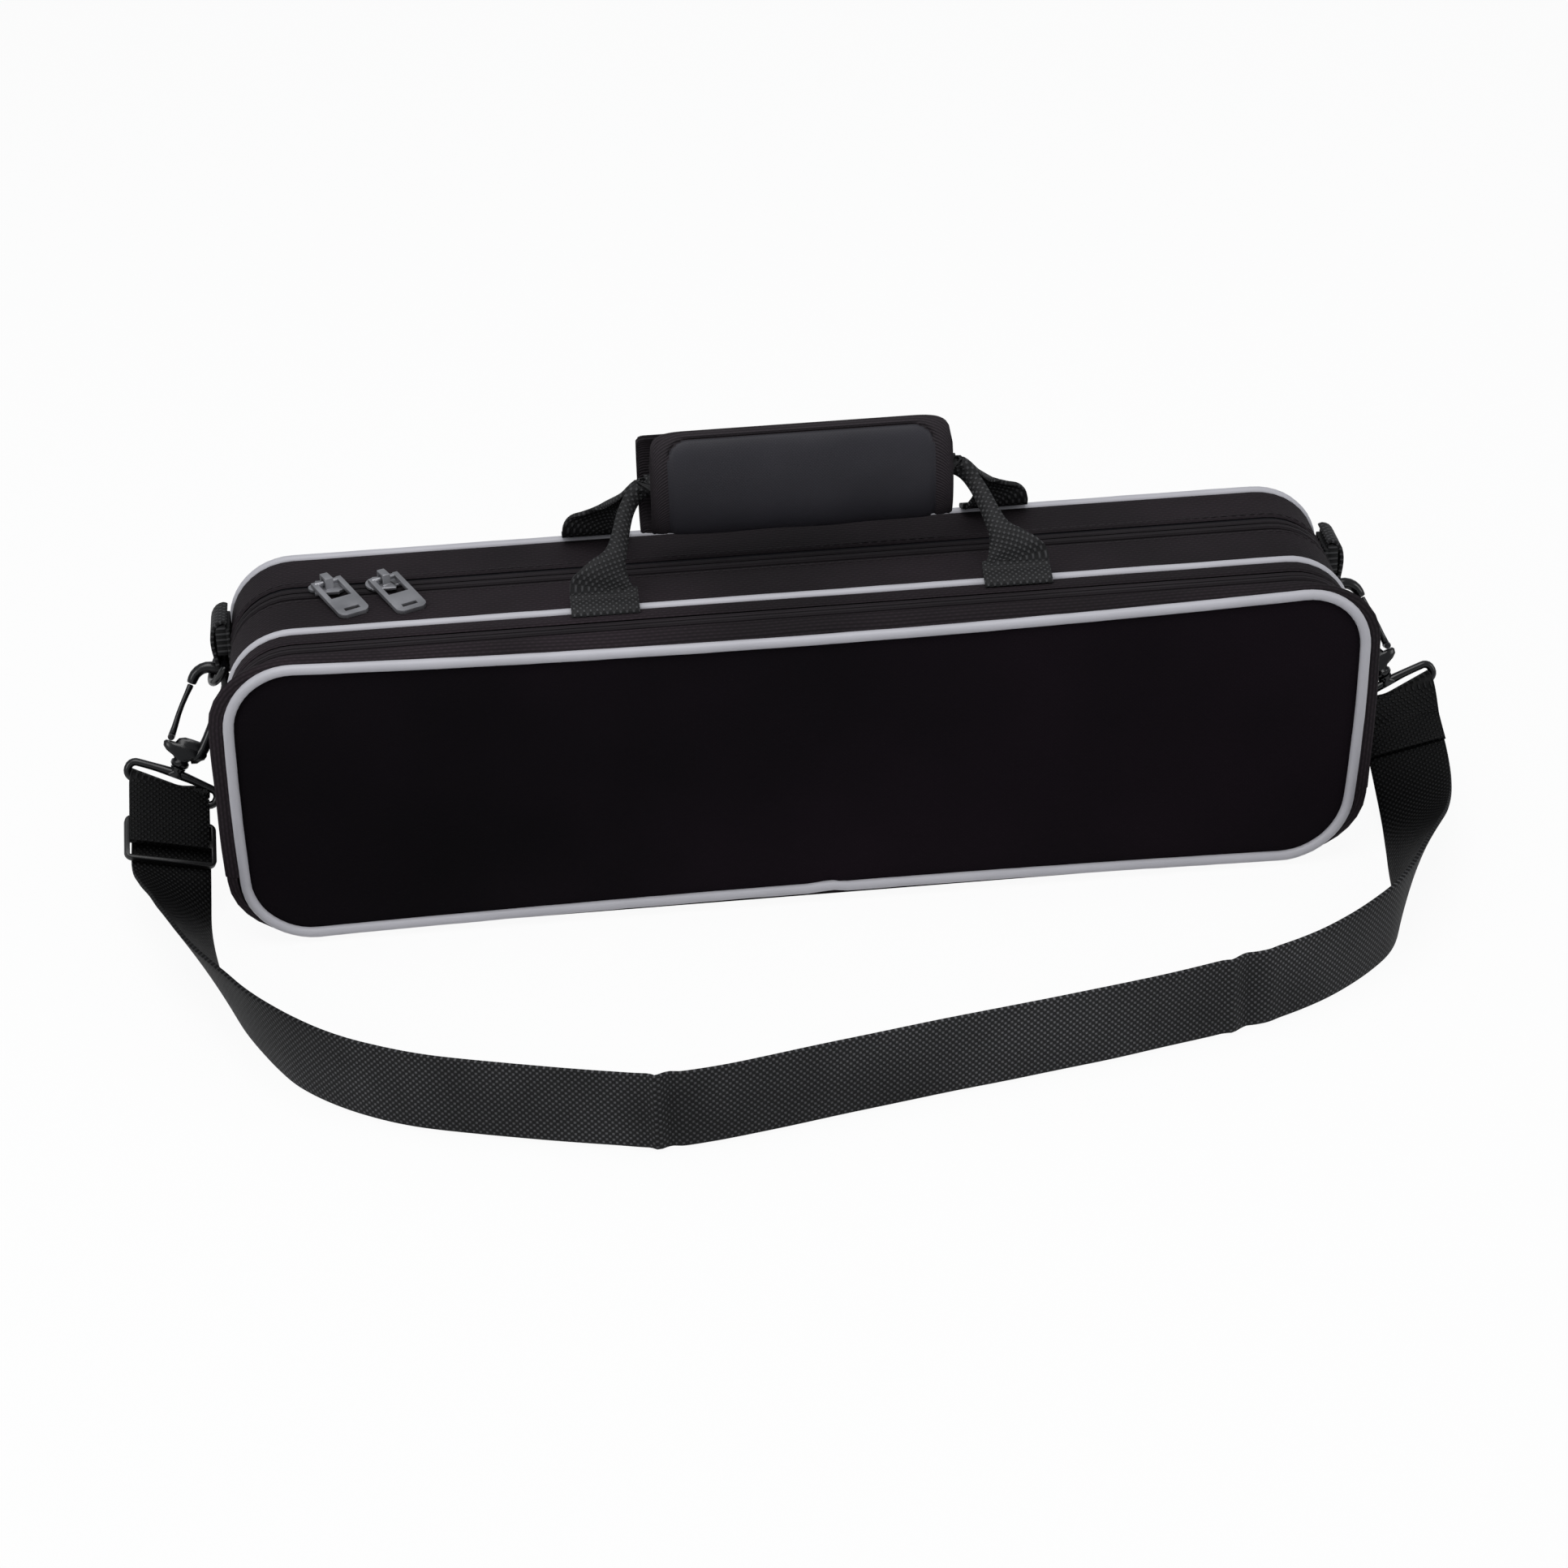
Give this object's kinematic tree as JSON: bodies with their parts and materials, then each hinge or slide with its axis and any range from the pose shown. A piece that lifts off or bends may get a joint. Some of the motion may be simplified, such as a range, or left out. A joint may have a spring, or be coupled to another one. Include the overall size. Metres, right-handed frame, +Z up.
{
  "type": "flute case",
  "caption": "Soft zipped flute case standing on its long side, with front pocket, pale piping, wrapped double handle and hooked-on shoulder strap.",
  "frame": {"origin": "middle of the base that the case stands on, without the free strap", "axes": "+X along the length to the right, -Y towards the pocket side, +Z up through the handle"},
  "size_m": [0.5088, 0.2418, 0.1705],
  "materials": {
    "woven_cover": "woven nylon, near black",
    "brushed_panel": "close woven nylon, soft sheen",
    "foam_board": "stiff foam board under the cover",
    "plush": "short plush pile",
    "piping": "soft pale grey piping with a satin sheen",
    "zip_tape": "herringbone zip tape",
    "zip_coil": "nylon coil",
    "slider_metal": "gunmetal, worn at the edges",
    "black_metal": "black lacquered metal",
    "black_plastic": "black moulded plastic",
    "handle_webbing": "25 mm woven webbing",
    "strap_webbing": "30 mm woven webbing",
    "grip_padding": "padded grip with bound edges",
    "hook_and_loop": "hook and loop tape"
  },
  "bodies": {
    "case_back": {"back_cover": "woven_cover", "back_board": "foam_board", "back_piping": "piping", "insert_foam": "plush", "back_zip_tape": "zip_tape", "back_zip_teeth": "zip_coil", "hinge_strip": "woven_cover", "ring_tab_left": "handle_webbing", "ring_tab_right": "handle_webbing", "back_handle_tabs": "handle_webbing", "hook_left": "black_metal", "hook_right": "black_metal", "swivel_eye_left": "black_metal", "swivel_eye_right": "black_metal", "strap_fold_left": "strap_webbing", "strap_fold_right": "strap_webbing", "tri_glide": "black_plastic", "strap": "strap_webbing"},
    "lid": {"front_cover": "woven_cover", "front_board": "foam_board", "middle_piping": "piping", "lid_pad": "plush", "front_zip_tape": "zip_tape", "front_zip_teeth": "zip_coil", "pocket_gusset_back": "woven_cover", "pocket_sill": "woven_cover", "pocket_zip_back": "zip_tape", "front_handle_tabs": "handle_webbing"},
    "pocket_flap": {"pocket_panel": "brushed_panel", "front_piping": "piping", "pocket_gusset_front": "woven_cover", "pocket_zip_front": "zip_tape"},
    "left_slider": {"slider_left": "slider_metal"},
    "right_slider": {"slider_right": "slider_metal"},
    "left_pull": {"pull_left": "slider_metal"},
    "right_pull": {"pull_right": "slider_metal"},
    "pocket_slide": {"pocket_slider": "slider_metal"},
    "pocket_pull_tab": {"pocket_pull": "slider_metal"},
    "front_handle": {"front_handle_webbing": "handle_webbing", "grip_front_leaf": "grip_padding", "grip_hook_strip": "hook_and_loop"},
    "back_handle": {"back_handle_webbing": "handle_webbing", "grip_back_leaf": "grip_padding", "grip_loop_strip": "hook_and_loop"},
    "left_ring": {"ring_left": "black_metal"},
    "right_ring": {"ring_right": "black_metal"},
    "left_gate": {"gate_left": "black_metal"},
    "right_gate": {"gate_right": "black_metal"}
  },
  "joints": [
    {"name": "lid_hinge", "type": "hinge", "parent": "case_back", "child": "lid", "pos_m": [0, 0.00865, 0], "axis": [1, 0, 0], "range_deg": [0, 100]},
    {"name": "pocket_hinge", "type": "hinge", "parent": "lid", "child": "pocket_flap", "pos_m": [0, -0.043, 0.002], "axis": [1, 0, 0], "range_deg": [0, 60]},
    {"name": "left_slider_slide", "type": "slide", "parent": "case_back", "child": "left_slider", "axis": [1, 0, 0], "range_m": [-0.006, 0]},
    {"name": "right_slider_slide", "type": "slide", "parent": "case_back", "child": "right_slider", "axis": [1, 0, 0], "range_m": [0, 0.325]},
    {"name": "left_pull_hinge", "type": "hinge", "parent": "left_slider", "child": "left_pull", "pos_m": [-0.17, 0.014, 0.1183], "axis": [-0.9063, -0.4226, 0], "range_deg": [0, 150]},
    {"name": "right_pull_hinge", "type": "hinge", "parent": "right_slider", "child": "right_pull", "pos_m": [-0.149, 0.014, 0.1183], "axis": [-0.9063, -0.4226, 0], "range_deg": [0, 150]},
    {"name": "pocket_slider_slide", "type": "slide", "parent": "lid", "child": "pocket_slide", "axis": [0, 0, 1], "range_m": [0, 0.034]},
    {"name": "pocket_pull_hinge", "type": "hinge", "parent": "pocket_slide", "child": "pocket_pull_tab", "pos_m": [-0.211, -0.03, 0.047], "axis": [0, 1, 0], "range_deg": [0, 120]},
    {"name": "front_handle_swing", "type": "hinge", "parent": "lid", "child": "front_handle", "pos_m": [0, -0.0142, 0.1178], "axis": [1, 0, 0], "range_deg": [0, 75]},
    {"name": "back_handle_swing", "type": "hinge", "parent": "case_back", "child": "back_handle", "pos_m": [0, 0.0365, 0.1178], "axis": [-1, 0, 0], "range_deg": [0, 75]},
    {"name": "left_ring_swing", "type": "hinge", "parent": "case_back", "child": "left_ring", "pos_m": [-0.2114, 0.031, 0.082], "axis": [0, -1, 0], "range_deg": [0, 6]},
    {"name": "left_gate_hinge", "type": "hinge", "parent": "case_back", "child": "left_gate", "pos_m": [-0.23427, 0.0232, 0.05347], "axis": [0, 0.9272, -0.3746], "range_deg": [0, 18], "stiffness_Nm_per_rad": 0.02, "springref_deg": -8.59},
    {"name": "right_ring_swing", "type": "hinge", "parent": "case_back", "child": "right_ring", "pos_m": [0.2114, 0.031, 0.082], "axis": [0, 1, 0], "range_deg": [0, 6]},
    {"name": "right_gate_hinge", "type": "hinge", "parent": "case_back", "child": "right_gate", "pos_m": [0.23427, 0.0232, 0.05347], "axis": [0, -0.9272, 0.3746], "range_deg": [0, 18], "stiffness_Nm_per_rad": 0.02, "springref_deg": -8.59}
  ]
}
